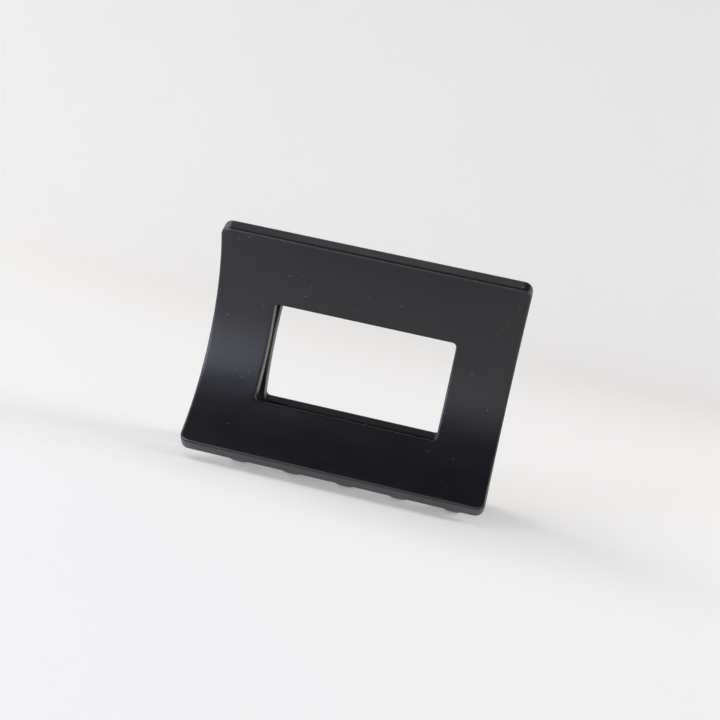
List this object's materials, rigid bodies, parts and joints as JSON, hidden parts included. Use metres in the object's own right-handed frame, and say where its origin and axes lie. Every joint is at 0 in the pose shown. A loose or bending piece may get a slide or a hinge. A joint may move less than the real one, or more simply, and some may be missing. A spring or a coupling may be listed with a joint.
{
  "type": "claw clip",
  "caption": "Rectangular claw clip: two curved jaws with a window in each, hooked teeth that interlock, and a sprung hinge between the handles.",
  "frame": {"origin": "on the ground under the middle of the clip, which stands on the undersides of its teeth", "axes": "+X along the hinge pin, +Y from the front jaw to the rear jaw, +Z from the teeth to the handles"},
  "size_m": [0.062, 0.025, 0.0479],
  "materials": {
    "jaw_plastic": "satin black",
    "pin_steel": "bright drawn",
    "spring_steel": "bright drawn wire"
  },
  "bodies": {
    "rear": {"rear_jaw": "jaw_plastic", "hinge_pin": "pin_steel", "torsion_spring": "spring_steel"},
    "front": {"front_jaw": "jaw_plastic"}
  },
  "joints": [
    {"name": "jaw_opening", "type": "hinge", "parent": "rear", "child": "front", "pos_m": [0, 0, 0.03989], "axis": [-1, 0, 0], "range_deg": [0, 70], "stiffness_Nm_per_rad": 0.06, "springref_deg": -40.11, "deforming": ["torsion_spring"]}
  ]
}
